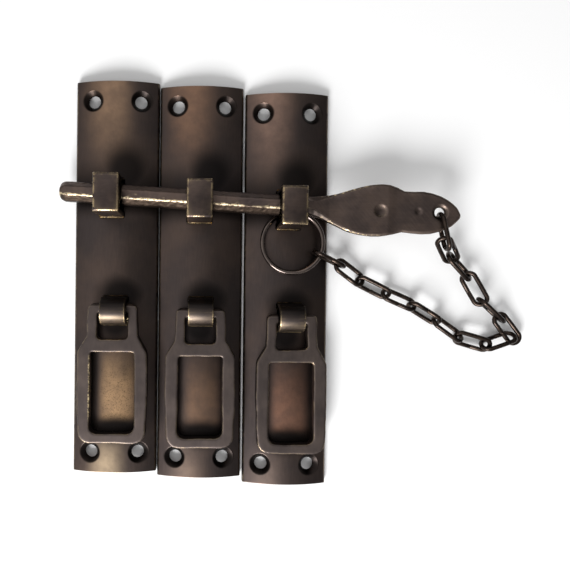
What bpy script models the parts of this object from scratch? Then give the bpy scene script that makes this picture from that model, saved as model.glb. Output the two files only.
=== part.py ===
"""Three-plate door latch with a sliding bolt, three stirrup pulls and a keeper chain.

The latch lies on the backs of its plates, with +Z out of the plates, +X along the bolt towards its leaf
and +Y up the plates. Sizes are in millimetres in the constants, and in metres in the scene.
The origin is the middle of the bounding box's bottom face.
"""
import math

import bmesh
import bpy
from mathutils import Matrix, Vector

MM = 0.001
GAP = 0.3                     # clearance left between neighbouring pieces

# Plates: long convex straps with a hollow back, side by side from left to right
PLATE_LENGTH = 203.2
PLATE_WIDTH = 43.5
PLATE_CROWN = 7.4             # height of the back's top line over the table
PLATE_RIM = 2.5               # height of the upright long edges
PLATE_EASE = 1.2              # rounding between the upright edge and the back
PLATE_WALL = 3.0
PLATE_SPACES = (0.5, 1.1)     # spaces between the plates
PLATE_SLIPS = (2.2, 0.0, -3.2)

# Screw holes: four to a plate, square to the curved back
SCREW_ACROSS = 25.4
SCREW_FROM_END = 10.3
SCREW_HOLE = 6.4
SCREW_SINK = 11.2
SCREW_DEPTH = 8.0             # of the hole's cut into the hollow back

# Keepers: square straps that guide the bolt
KEEPER_UP = 40.6              # from the plate's middle to the keeper's middle
KEEPER_STRAP = 12.7
KEEPER_DEPTH = 19.3
KEEPER_WALL = 2.8
KEEPER_RISE = 20.6            # from the plate's back to the keeper's front
KEEPER_SIDE = (-2.3, -0.8, 0.8)
KEEPER_SLIP = (0.1, -0.2, 0.1)

# Arches: round straps that the pulls hang in
ARCH_DOWN = 15.8              # from the plate's middle down to the arch's middle
ARCH_STRAP = 12.7
ARCH_DEPTH = 14.0
ARCH_WALL = 2.6
ARCH_RISE = 13.6
ARCH_SIDE = (0.2, 0.3, 1.5)
ARCH_SLIP = (-1.6, 0.5, 1.1)

# Feet of the straps: fillet on the plate, tang through it and peened head behind it
FOOT_FLARE = 0.9
TANG_STEP = 0.35
HEAD_LIP = 0.9
HEAD_HEIGHT = 1.0

# Pulls: flat stirrups that hang in the arches
PULL_THICK = 5.4
PULL_LIFT = 0.5               # under the pull, over the plate's back
PULL_BAR = 5.4
PULL_NECK_WIDTH = 25.9
PULL_NECK_LENGTH = 16.5       # from the pivot to the shoulders
PULL_EYE_WIDTH = 15.2
PULL_EYE_LENGTH = 12.8
PULL_MID_BAR = 6.4
PULL_BODY_WIDTH = 36.0
PULL_WINDOW_WIDTH = 23.0
PULL_WINDOW_LENGTH = 41.5
PULL_END_BAR = 5.0
PULL_NECK_ROUND = 3.2
PULL_SHOULDER = 8.0           # length of the slope from the neck out to the body
PULL_SHOULDER_ROUND = 4.5
PULL_END_ROUND = 6.0
PULL_TAPER = 1.0              # the body's lower corners lie that much further in
PULL_SIDE = (-0.7, 0.0, 0.7)  # sideways from the arch
PULL_SLIP = (0.9, -0.9, -0.9)

# Bolt: eight-sided rod that is forged out to a flat leaf, lying in the keepers
BOLT_SIDE = 1.0               # sideways from the line through the keepers
BOLT_LEFT_Z = 12.7            # height of the rod's axis over the left plate
BOLT_SLOPE = 0.0325           # the right end lies on the ring
BOLT_BEYOND = 25.4            # from the left keeper's middle to the rod's tip
ROD_HIGH = 10.2
ROD_THICK = 10.0
ROD_CHAMFER = 3.0
ROD_END = 2.0                 # where the rod starts to be forged out, from the right keeper's middle
ROD_TIP_EASE = ((0.0, 2.2), (0.8, 0.9), (2.6, 0.0))
LEAF_THICK = 4.0
LEAF_END_THICK = 3.0
LEAF_FLAT = 22.0              # where the leaf is forged flat
LEAF_STEP = 50.0              # where it gets thinner
LEAF_WAIST = 55.5
LEAF_EDGE = 0.7               # bevel along the leaf's rim
LEAF_UPPER = ((7.1, 5.0), (14.0, 5.6), (21.4, 7.2), (29.2, 10.0), (36.5, 12.4), (44.8, 13.8), (50.8, 13.0),
              (55.5, 11.0), (57.5, 10.6), (63.2, 11.4), (70.9, 10.5), (77.1, 7.9), (82.0, 4.2), (83.6, 1.2))
LEAF_LOWER = ((7.1, -3.6), (13.5, -4.9), (19.2, -7.3), (29.2, -11.3), (37.0, -12.5), (44.0, -12.5), (51.4, -10.9),
              (55.1, -9.6), (61.8, -9.9), (68.8, -9.7), (75.0, -7.7), (79.6, -5.2), (82.4, -2.4), (83.6, -0.9))
DIMPLES = ((44.1, 0.3, 3.5, 6.0), (62.7, 1.3, 2.0, 3.5))
CHAIN_HOLE = (73.6, 1.5)
CHAIN_HOLE_SIZE = 5.0
CHAIN_HOLE_SINK = 8.2
CHAIN_HOLE_DEPTH = 1.2        # of its countersink

# Ring round the lower leg of the right keeper
RING_RADIUS = 15.65
RING_WIRE = 2.4
RING_CENTRE = (1.9, -16.8)    # from the middle of the right keeper
RING_LIFT = 0.3
RING_LINK_AT = -24.0          # where the first link hangs, in degrees

# Chain: long oval links, by the lie of each on the table
LINK_WIRE = 2.3
LINK_STRAIGHT = 11.3
LINK_BEND = 3.35
LINK_HEADS = (-23.78, -34.22, -26.16, -22.88, -30.91, -34.62, -15.62, 19.32, 128.58, 140.25, 118.68,
              137.04, 132.0, 103.3)
LINK_ROLLS = (88, -25, 48, -38, 61, -45, 30, -52, 1, 82, -25, 50, -37, 88)
LINK_HEIGHTS = (7.01, 3.7, 4.38, 4.55, 4.12, 3.6, 4.79, 3.78, 4.59, 6.92, 6.05, 9.1)
LINK_NESTS = ((0.15, 2.29), (2.29, 1.41), (1.9, 1.7), (1.4, 2.3), (3.0, 0.8), (2.15, 1.08), (1.55, 1.37),
              (2.55, -0.68), (1.86, 0.39), (1.7, 1.69), (2.14, 1.38), (0.8, 0.65), (-0.2, -0.04))
LINK_FIRST_NEST = -0.5
LINK_FIRST_LIFT = 0.86        # first link's axis over the ring's
LINK_LAST_DROP = 2.15         # last pivot but one under the leaf's middle
LINK_LAST_LIFT = 2.15         # last link's axis over that pivot
LINK_LAST_HANG = 0.8          # last link's wire off the middle of the leaf's hole
CHAIN_TURN = 8                # links on the near side of the chain's turn

# Colours
BRONZE = (0.070, 0.050, 0.040)
BRONZE_STRAP = (0.085, 0.065, 0.052)
BRONZE_DARK = (0.022, 0.016, 0.014)

# Facets
PLATE_FACETS = 16
HOLE_SIDES = 20
LINK_SIDES = 8
LINK_BEND_STEPS = 8
LEAF_STEPS = (13, 9)          # along the leaf before and after its waist

PLATES = ("left", "middle", "right")


def clear_scene():
    for item in list(bpy.data.objects):
        bpy.data.objects.remove(item, do_unlink=True)


def make_material(name, colour, rough):
    material = bpy.data.materials.new(name)
    material.use_nodes = True
    shader = material.node_tree.nodes["Principled BSDF"]
    shader.inputs["Base Color"].default_value = (*colour, 1.0)
    shader.inputs["Metallic"].default_value = 1.0
    shader.inputs["Roughness"].default_value = rough
    material.diffuse_color = (*colour, 1.0)
    material.metallic = 1.0
    material.roughness = rough
    return material


def make_object(name, verts, faces, place, material):
    """Mesh from points in millimetres, given in the piece's own frame, put at place."""
    mesh = bpy.data.meshes.new(name)
    mesh.from_pydata([tuple(c * MM for c in v) for v in verts], [], faces)
    work = bmesh.new()
    work.from_mesh(mesh)
    bmesh.ops.recalc_face_normals(work, faces=work.faces)
    work.to_mesh(mesh)
    work.free()
    item = bpy.data.objects.new(name, mesh)
    bpy.context.scene.collection.objects.link(item)
    item.location = Vector(place) * MM
    if material:
        mesh.materials.append(material)
    return item


def prism(outline, low, high, axis):
    """Closed outline, as pairs, drawn out from low to high along the axis."""
    count = len(outline)
    verts = []
    for level in (low, high):
        for a, b in outline:
            verts.append({"x": (level, a, b), "y": (a, level, b), "z": (a, b, level)}[axis])
    faces = [tuple(range(count)), tuple(range(2 * count - 1, count - 1, -1))]
    faces += [(k, (k + 1) % count, count + (k + 1) % count, count + k) for k in range(count)]
    return verts, faces


def lathe(profile, sides):
    """Closed solid of revolution about Z, from (radius, height) pairs from bottom to top."""
    verts, faces = [], []
    for radius, height in profile:
        for k in range(sides):
            turn = 2 * math.pi * k / sides
            verts.append((radius * math.cos(turn), radius * math.sin(turn), height))
    for row in range(len(profile) - 1):
        for k in range(sides):
            a, b = row * sides + k, row * sides + (k + 1) % sides
            faces.append((a, b, b + sides, a + sides))
    faces.append(tuple(range(sides - 1, -1, -1)))
    top = (len(profile) - 1) * sides
    faces.append(tuple(range(top, top + sides)))
    return verts, faces


def loft(sections):
    """Closed solid through rings of points with the same count; twisted faces are split in two."""
    count = len(sections[0])
    verts = [p for ring in sections for p in ring]
    faces = [tuple(range(count - 1, -1, -1))]
    for row in range(len(sections) - 1):
        for k in range(count):
            a, b = row * count + k, row * count + (k + 1) % count
            corner = [Vector(verts[v]) for v in (a, b, b + count, a + count)]
            square = (corner[1] - corner[0]).cross(corner[2] - corner[0])
            if abs(square.normalized().dot(corner[3] - corner[0])) < 1e-4:
                faces.append((a, b, b + count, a + count))
            else:
                faces += [(a, b, b + count), (a, b + count, a + count)]
    last = (len(sections) - 1) * count
    faces.append(tuple(range(last, last + count)))
    return verts, faces


def tube(path, sides, radius, up):
    """Closed loop of round wire along a closed flat path; up is the path's normal."""
    verts, faces = [], []
    count = len(path)
    for k in range(count):
        here = Vector(path[k])
        along = (Vector(path[(k + 1) % count]) - Vector(path[k - 1])).normalized()
        out = along.cross(up).normalized()
        for s in range(sides):
            turn = 2 * math.pi * (s + 0.5) / sides
            verts.append(tuple(here + out * math.cos(turn) * radius + up * math.sin(turn) * radius))
    for k in range(count):
        for s in range(sides):
            a, b = k * sides + s, k * sides + (s + 1) % sides
            c, d = ((k + 1) % count) * sides + s, ((k + 1) % count) * sides + (s + 1) % sides
            faces.append((a, b, d, c))
    return verts, faces


def cut(item, cutters):
    """Exact booleans, kept as modifiers, with the cutters as hidden wires under the piece."""
    for number, cutter in enumerate(cutters, 1):
        cutter.hide_render = True
        cutter.display_type = "WIRE"
        step = item.modifiers.new(f"cut {number}", "BOOLEAN")
        step.operation = "DIFFERENCE"
        step.solver = "EXACT"
        step.object = cutter


def rounded(corners, steps=4):
    """Outline from (x, y, radius) corners, each rounded with its radius."""
    out = []
    count = len(corners)
    for k, (x, y, radius) in enumerate(corners):
        here = Vector((x, y))
        if radius <= 0:
            out.append((x, y))
            continue
        before = Vector(corners[k - 1][:2]) - here
        after = Vector(corners[(k + 1) % count][:2]) - here
        before.normalize()
        after.normalize()
        half = before.angle(after) / 2
        reach = radius / math.tan(half)
        centre = here + (before + after).normalized() * radius / math.sin(half)
        start, end = here + before * reach - centre, here + after * reach - centre
        turn = start.angle_signed(end)
        for s in range(steps + 1):
            spin = Matrix.Rotation(-turn * s / steps, 2)
            point = centre + spin @ start
            out.append((point.x, point.y))
    return out


# Plates

def plate_x(index):
    shift = PLATE_WIDTH
    return (-(shift + PLATE_SPACES[0]), 0.0, shift + PLATE_SPACES[1])[index]


def crown_radius():
    half = PLATE_WIDTH / 2 - PLATE_EASE
    rise = PLATE_CROWN - PLATE_RIM - PLATE_EASE
    return (half * half + rise * rise) / (2 * rise)


def back_height(across, under=0.0):
    """Height of the plate's back at a distance across; under gives a surface that deep below it."""
    radius = crown_radius()
    return PLATE_CROWN - radius + math.sqrt((radius - under) ** 2 - across * across)


def plate_section():
    half = PLATE_WIDTH / 2
    right = [(half, 0.0), (half, PLATE_RIM), (half - 0.3 * PLATE_EASE, PLATE_RIM + 0.7 * PLATE_EASE)]
    edge = half - PLATE_EASE
    for k in range(PLATE_FACETS + 1):
        across = edge * (1 - 2 * k / PLATE_FACETS)
        right.append((across, back_height(across)))
    left = [(-half + 0.3 * PLATE_EASE, PLATE_RIM + 0.7 * PLATE_EASE), (-half, PLATE_RIM), (-half, 0.0)]
    inner = half - PLATE_WALL
    under = [(-inner, 0.0)]
    for k in range(PLATE_FACETS - 3):
        across = -inner * (1 - 2 * k / (PLATE_FACETS - 4))
        under.append((across, back_height(across, PLATE_WALL)))
    under.append((inner, 0.0))
    return right + left + under


def make_plate(index, material):
    name = PLATES[index]
    half = PLATE_LENGTH / 2
    x, y = plate_x(index), PLATE_SLIPS[index]
    verts, faces = prism(plate_section(), -half, half, "y")
    plate = make_object(f"{name}_plate", verts, faces, (x, y, 0), material)
    cutters = []
    depth = (SCREW_SINK - SCREW_HOLE) / 2
    profile = [(SCREW_HOLE / 2, -SCREW_DEPTH), (SCREW_HOLE / 2, -depth), (SCREW_SINK / 2, 0.0), (SCREW_SINK / 2 + 1, 1.0)]
    radius = crown_radius()
    for side in (-1, 1):
        for end in (-1, 1):
            across = side * SCREW_ACROSS / 2
            verts, faces = lathe(profile, HOLE_SIDES)
            spot = (x + across, y + end * (half - SCREW_FROM_END), back_height(across))
            hole = make_object(f"{name}_screw_{len(cutters)}", verts, faces, spot, None)
            hole.rotation_euler = (0, math.asin(across / radius), 0)
            cutters.append(hole)
    for centre, strap, depth, wall in (keeper_spot(index), arch_spot(index)):
        for side in (-1, 1):
            middle = centre[1] + side * (depth - wall) / 2
            wide, deep = strap / 2 + GAP, wall / 2 - TANG_STEP + GAP
            outline = [(-wide, -deep), (wide, -deep), (wide, deep), (-wide, deep)]
            verts, faces = prism(outline, 0.0, 2 * PLATE_CROWN, "z")
            slot = make_object(f"{name}_slot_{len(cutters)}", verts, faces, (centre[0], middle, -1.0), None)
            cutters.append(slot)
    cut(plate, cutters)
    return plate, cutters


# Straps

def keeper_spot(index):
    x = plate_x(index) + KEEPER_SIDE[index]
    y = PLATE_SLIPS[index] + KEEPER_UP + KEEPER_SLIP[index]
    return (x, y), KEEPER_STRAP, KEEPER_DEPTH, KEEPER_WALL


def arch_spot(index):
    x = plate_x(index) + ARCH_SIDE[index]
    y = PLATE_SLIPS[index] - ARCH_DOWN + ARCH_SLIP[index]
    return (x, y), ARCH_STRAP, ARCH_DEPTH, ARCH_WALL


def strap_leg(outer, wall, offset, strap):
    """Half of a strap's outline below its bend: down the outside, round the head, up the inside."""
    inner = outer - wall
    foot = PLATE_CROWN + GAP
    drop = crown_radius() - PLATE_WALL
    edge = strap / 2 + abs(offset)
    head_top = PLATE_CROWN - PLATE_WALL - (drop - math.sqrt(drop * drop - edge * edge)) - GAP
    head_low = head_top - HEAD_HEIGHT
    flare = FOOT_FLARE
    return [(outer, foot + 2.2 * flare), (outer + 0.3 * flare, foot + 0.9 * flare), (outer + flare, foot + 0.3 * flare),
            (outer + flare, foot), (outer - TANG_STEP, foot), (outer - TANG_STEP, head_top),
            (outer + HEAD_LIP, head_top), (outer + HEAD_LIP - 0.4, head_low), (inner - HEAD_LIP + 0.4, head_low),
            (inner - HEAD_LIP, head_top), (inner + TANG_STEP, head_top), (inner + TANG_STEP, foot),
            (inner, foot), (inner, foot + 1.0)]


def make_keeper(index, material):
    (x, y), strap, depth, wall = keeper_spot(index)
    outer, top = depth / 2, PLATE_CROWN + KEEPER_RISE
    inner = outer - wall
    leg = strap_leg(outer, wall, KEEPER_SIDE[index], strap)
    bend_out, bend_in = 1.3, 0.9
    arc_out = [(outer - bend_out + bend_out * math.sin(a), top - bend_out + bend_out * math.cos(a))
               for a in (0, math.pi / 6, math.pi / 3, math.pi / 2)]
    roof = top - wall
    arc_in = [(inner - bend_in + bend_in * math.sin(a), roof - bend_in + bend_in * math.cos(a))
              for a in (math.pi / 2, math.pi / 4, 0)]
    half = arc_out + leg + arc_in
    outline = half + [(-a, b) for a, b in reversed(half)]
    verts, faces = prism(outline, -strap / 2, strap / 2, "x")
    return make_object(f"{PLATES[index]}_keeper", verts, faces, (x, y, 0), material)


def make_arch(index, material):
    (x, y), strap, depth, wall = arch_spot(index)
    outer = depth / 2
    spring = PLATE_CROWN + ARCH_RISE - outer
    leg = strap_leg(outer, wall, ARCH_SIDE[index], strap)
    arc_out = [(outer * math.sin(math.radians(a)), spring + outer * math.cos(math.radians(a)))
               for a in range(0, 91, 15)]
    inner = outer - wall
    arc_in = [(inner * math.sin(math.radians(a)), spring + inner * math.cos(math.radians(a)))
              for a in range(90, -1, -18)]
    half = arc_out + leg + arc_in
    other = [(-a, b) for a, b in reversed(half)]
    outline = half + other[1:-1]
    verts, faces = prism(outline, -strap / 2, strap / 2, "x")
    return make_object(f"{PLATES[index]}_arch", verts, faces, (x, y, 0), material)


# Pulls

def pull_pivot(index):
    (x, y), _, _, _ = arch_spot(index)
    return (x + PULL_SIDE[index], y + PULL_SLIP[index], PLATE_CROWN + PULL_LIFT + PULL_THICK / 2)


def make_pull(index, material):
    name = PLATES[index]
    neck, body = PULL_NECK_WIDTH / 2, PULL_BODY_WIDTH / 2
    bar = PULL_BAR / 2
    eye_end = -bar - PULL_EYE_LENGTH
    window_top = eye_end - PULL_MID_BAR
    window_end = window_top - PULL_WINDOW_LENGTH
    bottom = window_end - PULL_END_BAR
    top, low_line = -PULL_NECK_LENGTH + PULL_SHOULDER / 3, (bottom - PULL_NECK_LENGTH) / 2
    half = [(neck - 0.4, bar, PULL_NECK_ROUND), (neck, top, PULL_NECK_ROUND),
            (body - 0.2, top - PULL_SHOULDER, PULL_SHOULDER_ROUND), (body, low_line, 0.0),
            (body - PULL_TAPER, bottom, PULL_END_ROUND)]
    outline = rounded(half + [(-a, b, r) for a, b, r in reversed(half)])
    low, high = -PULL_THICK / 2, PULL_THICK / 2
    verts, faces = prism(outline, low, high, "z")
    pivot = pull_pivot(index)
    pull = make_object(f"{name}_pull", verts, faces, pivot, material)
    eye, window = PULL_EYE_WIDTH / 2, PULL_WINDOW_WIDTH / 2
    holes = [
        [(eye, -bar, 0.6), (eye + 0.3, eye_end, 2.0), (-eye - 0.3, eye_end, 2.0), (-eye, -bar, 0.6)],
        [(window - 0.3, window_top, 1.0), (window, window_end, 3.5), (-window, window_end, 3.5),
         (-window + 0.3, window_top, 1.0)]]
    cutters = []
    for number, corners in enumerate(holes):
        verts, faces = prism(rounded(corners, 3), low - 1, high + 1, "z")
        cutters.append(make_object(f"{name}_pull_hole_{number}", verts, faces, pivot, None))
    ease = 1.4
    for up in (-1, 1):
        for side in (-1, 1):
            edge = [(side * bar, up * high), (side * (bar - ease), up * high), (side * bar, up * (high - ease))]
            grown = [(a + side * 0.6, b + up * 0.6) for a, b in edge]
            wedge = [edge[1], edge[2], grown[2], grown[0], grown[1]]
            reach = eye if side < 0 else neck
            verts, faces = prism(wedge, -reach - 2 * (side > 0), reach + 2 * (side > 0), "x")
            cutters.append(make_object(f"{name}_pull_ease_{up}_{side}", verts, faces, pivot, None))
    cut(pull, cutters)
    return pull, cutters


# Bolt

def bolt_frame():
    """Origin at the right keeper, direction along the bolt, direction across it and its own up."""
    (lx, ly), (rx, ry) = keeper_spot(0)[0], keeper_spot(2)[0]
    yaw = math.atan2(ry - ly, rx - lx)
    across = Vector((-math.sin(yaw), math.cos(yaw), 0))
    tilt = math.atan(BOLT_SLOPE)
    along = Vector((math.cos(yaw) * math.cos(tilt), math.sin(yaw) * math.cos(tilt), math.sin(tilt)))
    spot = Vector((rx, ry, 0)) + across * BOLT_SIDE
    spot.z = BOLT_LEFT_Z + (spot.x - plate_x(0)) * BOLT_SLOPE
    return spot, along, across, along.cross(across)


def edge_at(table, u):
    """Smooth curve through a table of (u, v) pairs."""
    for k in range(len(table) - 1):
        if u <= table[k + 1][0] or k == len(table) - 2:
            break
    a, b = table[k], table[k + 1]
    before, after = table[max(k - 1, 0)], table[min(k + 2, len(table) - 1)]
    span = b[0] - a[0]
    t = min(max((u - a[0]) / span, 0.0), 1.0)
    slope_a = (b[1] - before[1]) / (b[0] - before[0]) * span
    slope_b = (after[1] - a[1]) / (after[0] - a[0]) * span
    return ((2 * t ** 3 - 3 * t ** 2 + 1) * a[1] + (t ** 3 - 2 * t ** 2 + t) * slope_a
            + (3 * t ** 2 - 2 * t ** 3) * b[1] + (t ** 3 - t ** 2) * slope_b)


def bolt_section(u, upper, lower, thick, chamfer_across, chamfer_thick):
    half = thick / 2
    return [(u, upper, half - chamfer_thick), (u, upper - chamfer_across, half),
            (u, lower + chamfer_across, half), (u, lower, half - chamfer_thick),
            (u, lower, -half + chamfer_thick), (u, lower + chamfer_across, -half),
            (u, upper - chamfer_across, -half), (u, upper, -half + chamfer_thick)]


def bolt_place(spot, axes, point):
    along, across, up = axes
    return tuple(along * point[0] + across * point[1] + up * point[2])


def make_bolt(material):
    spot, along, across, up = bolt_frame()
    axes = (along, across, up)
    high = ROD_HIGH / 2
    (lx, ly), (rx, ry) = keeper_spot(0)[0], keeper_spot(2)[0]
    tip = -math.hypot(rx - lx, ry - ly) / math.cos(math.atan(BOLT_SLOPE)) - BOLT_BEYOND
    sections = []
    for u, inset in ROD_TIP_EASE:
        shrink = max(ROD_CHAMFER - 0.4 * inset, ROD_CHAMFER / 3)
        sections.append(bolt_section(tip + u, high - inset, -high + inset, ROD_THICK - inset, shrink, shrink))
    sections.append(bolt_section(ROD_END, high, -high, ROD_THICK, ROD_CHAMFER, ROD_CHAMFER))
    first, last = LEAF_UPPER[0][0], LEAF_UPPER[-1][0]
    body = [first + (LEAF_WAIST - first) * k / LEAF_STEPS[0] for k in range(LEAF_STEPS[0])]
    end = [LEAF_WAIST + (last - LEAF_WAIST) * math.sin(math.pi / 2 * k / LEAF_STEPS[1]) for k in range(LEAF_STEPS[1] + 1)]
    for u in body + end:
        blend = min((u - ROD_END) / (LEAF_FLAT - ROD_END), 1.0)
        ease = blend * blend * (3 - 2 * blend)
        flat = LEAF_THICK if u < LEAF_STEP else LEAF_END_THICK
        thick = ROD_THICK + (flat - ROD_THICK) * ease
        chamfer = ROD_CHAMFER + (LEAF_EDGE - ROD_CHAMFER) * ease
        wide = min(chamfer * (1 + 0.8 * ease), (edge_at(LEAF_UPPER, u) - edge_at(LEAF_LOWER, u)) * 0.3)
        sections.append(bolt_section(u, edge_at(LEAF_UPPER, u), edge_at(LEAF_LOWER, u), thick, wide, chamfer))
    rings = [[bolt_place(spot, axes, p) for p in ring] for ring in sections]
    verts, faces = loft(rings)
    bolt = make_object("bolt", verts, faces, spot, material)
    cutters = []
    frame = Matrix((along, across, up)).transposed().to_euler()
    for number, (u, v, radius, ball) in enumerate(DIMPLES):
        top = (LEAF_THICK if u < LEAF_STEP else LEAF_END_THICK) / 2
        sink = math.sqrt(ball * ball - radius * radius)
        profile = [(0.025 * ball, -0.995 * ball)]
        for k in range(1, 6):
            turn = math.radians(-90 + 12 * k)
            if ball * math.cos(turn) < radius:
                profile.append((ball * math.cos(turn), ball * math.sin(turn)))
        profile.append((radius, -sink))
        profile.append((1.1 * radius, -sink + 0.3 * radius))
        verts, faces = lathe(profile, HOLE_SIDES - 4)
        place = spot + Vector(bolt_place(spot, axes, (u, v, top + sink)))
        cutter = make_object(f"dimple_{number}", verts, faces, place, None)
        cutter.rotation_euler = frame
        cutters.append(cutter)
    half = LEAF_END_THICK / 2
    hole, sink = CHAIN_HOLE_SIZE / 2, CHAIN_HOLE_SINK / 2
    profile = [(hole, -2 * half), (hole, half - CHAIN_HOLE_DEPTH), (sink, half), (sink + 0.5, half + 0.5)]
    verts, faces = lathe(profile, HOLE_SIDES)
    cutter = make_object("chain_hole", verts, faces, hole_spot(), None)
    cutter.rotation_euler = frame
    cutters.append(cutter)
    cut(bolt, cutters)
    return bolt, cutters


def hole_spot():
    spot, along, across, up = bolt_frame()
    return spot + along * CHAIN_HOLE[0] + across * CHAIN_HOLE[1]


# Ring and chain

def ring_spot():
    x, y = keeper_spot(2)[0]
    return Vector((x + RING_CENTRE[0], y + RING_CENTRE[1], PLATE_CROWN + RING_LIFT + RING_WIRE / 2))


def ring_pivot():
    (x, y), _, depth, wall = keeper_spot(2)
    return Vector((x, y - (depth - wall) / 2, ring_spot().z))


def make_ring(material):
    pivot, centre = ring_pivot(), ring_spot()
    steps = 40
    path = []
    for k in range(steps):
        turn = 2 * math.pi * k / steps
        path.append(centre - pivot + Vector((RING_RADIUS * math.cos(turn), RING_RADIUS * math.sin(turn), 0)))
    verts, faces = tube(path, 10, RING_WIRE / 2, Vector((0, 0, 1)))
    return make_object("ring", verts, faces, pivot, material)


def lay_chain(heights):
    """Pivots, headings and pitches of the links with their pivots at the given heights.

    Each link keeps its lie on the table, and the two sides of the chain turn as stiff arms until they meet.
    """
    count = len(LINK_HEADS)
    near = [LINK_FIRST_NEST] + [pair[1] for pair in LINK_NESTS]
    far = [pair[0] for pair in LINK_NESTS] + [LINK_BEND + LINK_LAST_HANG]
    hole = hole_spot()
    spans, rises = [], []
    for k in range(count):
        reach = LINK_STRAIGHT + near[k] + far[k]
        rise = heights[k + 1] - heights[k] - (LINK_LAST_LIFT if k == count - 1 else 0)
        spans.append(math.sqrt(reach * reach - rise * rise))
        rises.append(rise)
    turn = math.radians(RING_LINK_AT)
    start = ring_spot() + Vector((math.cos(turn), math.sin(turn), 0)) * RING_RADIUS
    heads = [math.radians(h) for h in LINK_HEADS]
    arms = []
    for links in (range(CHAIN_TURN), range(CHAIN_TURN, count)):
        x = sum(spans[k] * math.cos(heads[k]) for k in links)
        y = sum(spans[k] * math.sin(heads[k]) for k in links)
        arms.append((math.hypot(x, y), math.atan2(y, x)))
    (first, first_head), (second, second_head) = arms
    reach, base = math.hypot(hole.x - start.x, hole.y - start.y), math.atan2(hole.y - start.y, hole.x - start.x)
    near_angle = math.acos((first ** 2 + reach ** 2 - second ** 2) / (2 * first * reach))
    far_angle = math.acos((second ** 2 + reach ** 2 - first ** 2) / (2 * second * reach))
    turns = (base - near_angle - first_head, base + far_angle - second_head)
    heads = [h + turns[0 if k < CHAIN_TURN else 1] for k, h in enumerate(heads)]
    points = [Vector((start.x, start.y, heights[0]))]
    for k in range(count):
        x = points[-1].x + spans[k] * math.cos(heads[k])
        y = points[-1].y + spans[k] * math.sin(heads[k])
        points.append(Vector((x, y, heights[k + 1])))
    pitches = [math.atan2(rises[k], spans[k]) for k in range(count)]
    return points, heads, pitches, near


def chain_points():
    """The chain as it lies, with its first link clear of the right plate's long edge."""
    hole = hole_spot()
    heights = [ring_spot().z + LINK_FIRST_LIFT, *LINK_HEIGHTS, hole.z - LINK_LAST_DROP, hole.z]
    start, end = lay_chain(heights)[0][:2]
    edge = plate_x(2) + PLATE_WIDTH / 2
    over = PLATE_RIM + PLATE_EASE + LINK_BEND + LINK_WIRE / 2
    if start.x < edge < end.x + LINK_BEND:
        heights[1] = max(heights[1], start.z - (start.z - over) * (end.x - start.x) / (edge - start.x))
    return lay_chain(heights)


def link_path():
    """Centreline of one link in its own plane, as (along, across) pairs."""
    half = LINK_STRAIGHT / 2
    path = []
    for end in (0, 1):
        for k in range(LINK_BEND_STEPS + 1):
            turn = -math.pi / 2 + math.pi * k / LINK_BEND_STEPS + math.pi * end
            path.append(((half if end == 0 else -half) + LINK_BEND * math.cos(turn), LINK_BEND * math.sin(turn)))
    return path


def make_link(index, layout, material):
    points, heads, pitches, near = layout
    head, pitch, roll = heads[index], pitches[index], math.radians(LINK_ROLLS[index])
    along = Vector((math.cos(head) * math.cos(pitch), math.sin(head) * math.cos(pitch), math.sin(pitch)))
    level = Vector((-math.sin(head), math.cos(head), 0))
    raised = along.cross(level)
    across = level * math.cos(roll) + raised * math.sin(roll)
    normal = along.cross(across)
    count = len(LINK_HEADS)
    start = points[index].copy()
    if index == count - 1:
        start.z += LINK_LAST_LIFT
    centre = start + along * (LINK_STRAIGHT / 2 + near[index])
    pivot = points[count] if index == count - 1 else points[index]
    path = [centre - pivot + along * a + across * b for a, b in link_path()]
    verts, faces = tube(path, LINK_SIDES, LINK_WIRE / 2, normal)
    return make_object(f"link_{index + 1}", verts, faces, pivot, material)


def keep_under(child, parent):
    """Parent the child and leave it where it is."""
    bpy.context.view_layer.update()
    child.parent = parent
    child.matrix_parent_inverse = parent.matrix_world.inverted()


def box_of(items):
    bpy.context.view_layer.update()
    corners = [item.matrix_world @ v.co for item in items for v in item.data.vertices]
    low = [min(c[k] for c in corners) for k in range(3)]
    high = [max(c[k] for c in corners) for k in range(3)]
    return low, high


def main():
    clear_scene()
    plate_look = [make_material(f"{n}_plate_bronze", BRONZE, 0.42) for n in PLATES]
    keeper_look = [make_material(f"{n}_keeper_bronze", BRONZE_STRAP, 0.38) for n in PLATES]
    arch_look = [make_material(f"{n}_arch_bronze", BRONZE_STRAP, 0.38) for n in PLATES]
    pull_look = [make_material(f"{n}_pull_bronze", BRONZE_STRAP, 0.45) for n in PLATES]
    bolt_look = make_material("bolt_bronze", BRONZE_STRAP, 0.4)
    ring_look = make_material("ring_bronze", BRONZE_DARK, 0.35)
    link_look = make_material("chain_bronze", BRONZE_DARK, 0.35)

    root = bpy.data.objects.new("latch", None)
    bpy.context.scene.collection.objects.link(root)
    pieces, under = [], {}
    for index in range(len(PLATES)):
        plate, cutters = make_plate(index, plate_look[index])
        keeper = make_keeper(index, keeper_look[index])
        arch = make_arch(index, arch_look[index])
        pull, pull_cutters = make_pull(index, pull_look[index])
        pieces += [plate, keeper, arch, pull]
        under[plate], under[pull] = cutters, pull_cutters
    bolt, cutters = make_bolt(bolt_look)
    under[bolt] = cutters
    ring = make_ring(ring_look)
    layout = chain_points()
    links = [make_link(k, layout, link_look) for k in range(len(LINK_HEADS))]
    pieces += [bolt, ring] + links

    low, high = box_of(pieces)
    for piece in pieces:
        for cutter in under.get(piece, []):
            keep_under(cutter, piece)
    carried = ring
    for link in links[:-1]:
        keep_under(link, carried)
        carried = link
    keep_under(links[-1], bolt)
    for piece in pieces:
        if piece.parent is None:
            keep_under(piece, root)
    root.location = (-(low[0] + high[0]) / 2, -(low[1] + high[1]) / 2, -low[2])
    bpy.context.view_layer.update()


main()
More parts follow.
